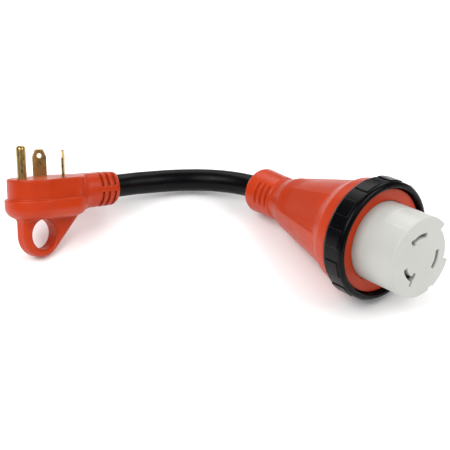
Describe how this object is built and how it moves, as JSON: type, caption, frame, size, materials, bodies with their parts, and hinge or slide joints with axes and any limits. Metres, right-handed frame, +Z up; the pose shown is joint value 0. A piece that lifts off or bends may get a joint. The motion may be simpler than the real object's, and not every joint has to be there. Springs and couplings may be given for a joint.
{
  "type": "rv power adapter dogbone",
  "caption": "Short stiff adapter cable with a right-angle blade plug and pull loop at one end and a locking connector with a turning threaded ring at the other.",
  "frame": {"origin": "middle of the bounding box's footprint, on the surface the adapter lies on", "axes": "+X along the adapter from the plug to the connector's nose, +Y towards the side the cable bows to, +Z up, away from the surface"},
  "size_m": [0.2843, 0.1591, 0.0797],
  "materials": {
    "red_pvc": "semi-gloss moulded PVC",
    "black_nylon": "satin moulded nylon",
    "white_nylon": "satin moulded nylon, greyish white",
    "cable_rubber": "smooth matt jacket",
    "black_insulation": "smooth PVC",
    "white_insulation": "smooth PVC",
    "green_insulation": "smooth PVC",
    "brass": "drawn and stamped brass",
    "nickel": "nickel plated",
    "copper": "bare copper"
  },
  "bodies": {
    "root": {"plug_body": "red_pvc", "plug_bridge": "black_nylon", "ground_pin": "brass", "blade_line": "brass", "blade_neutral": "brass", "cable_jacket": "cable_rubber", "line_insulation": "black_insulation", "line_strands": "copper", "neutral_insulation": "white_insulation", "neutral_strands": "copper", "ground_insulation": "green_insulation", "ground_strands": "copper", "connector_body": "red_pvc", "insert_cap": "white_nylon", "insert_base": "black_nylon", "contact_line_x": "brass", "contact_line_y": "brass", "contact_neutral": "brass", "ground_strip": "nickel", "line_link": "copper", "insert_screw_1": "nickel", "insert_screw_2": "nickel", "insert_screw_3": "nickel"},
    "ring_float": {"split_retainer": "nickel"},
    "ring": {"locking_ring": "black_nylon"}
  },
  "joints": [
    {"name": "ring_slide", "type": "slide", "parent": "root", "child": "ring_float", "axis": [0.6233, -0.7561, 0.1994], "range_m": [0, 0.0055]},
    {"name": "ring_spin", "type": "hinge", "parent": "ring_float", "child": "ring", "pos_m": [0.09981, -0.02507, 0.03992], "axis": [0.6233, -0.7561, 0.1994], "continuous": true}
  ]
}
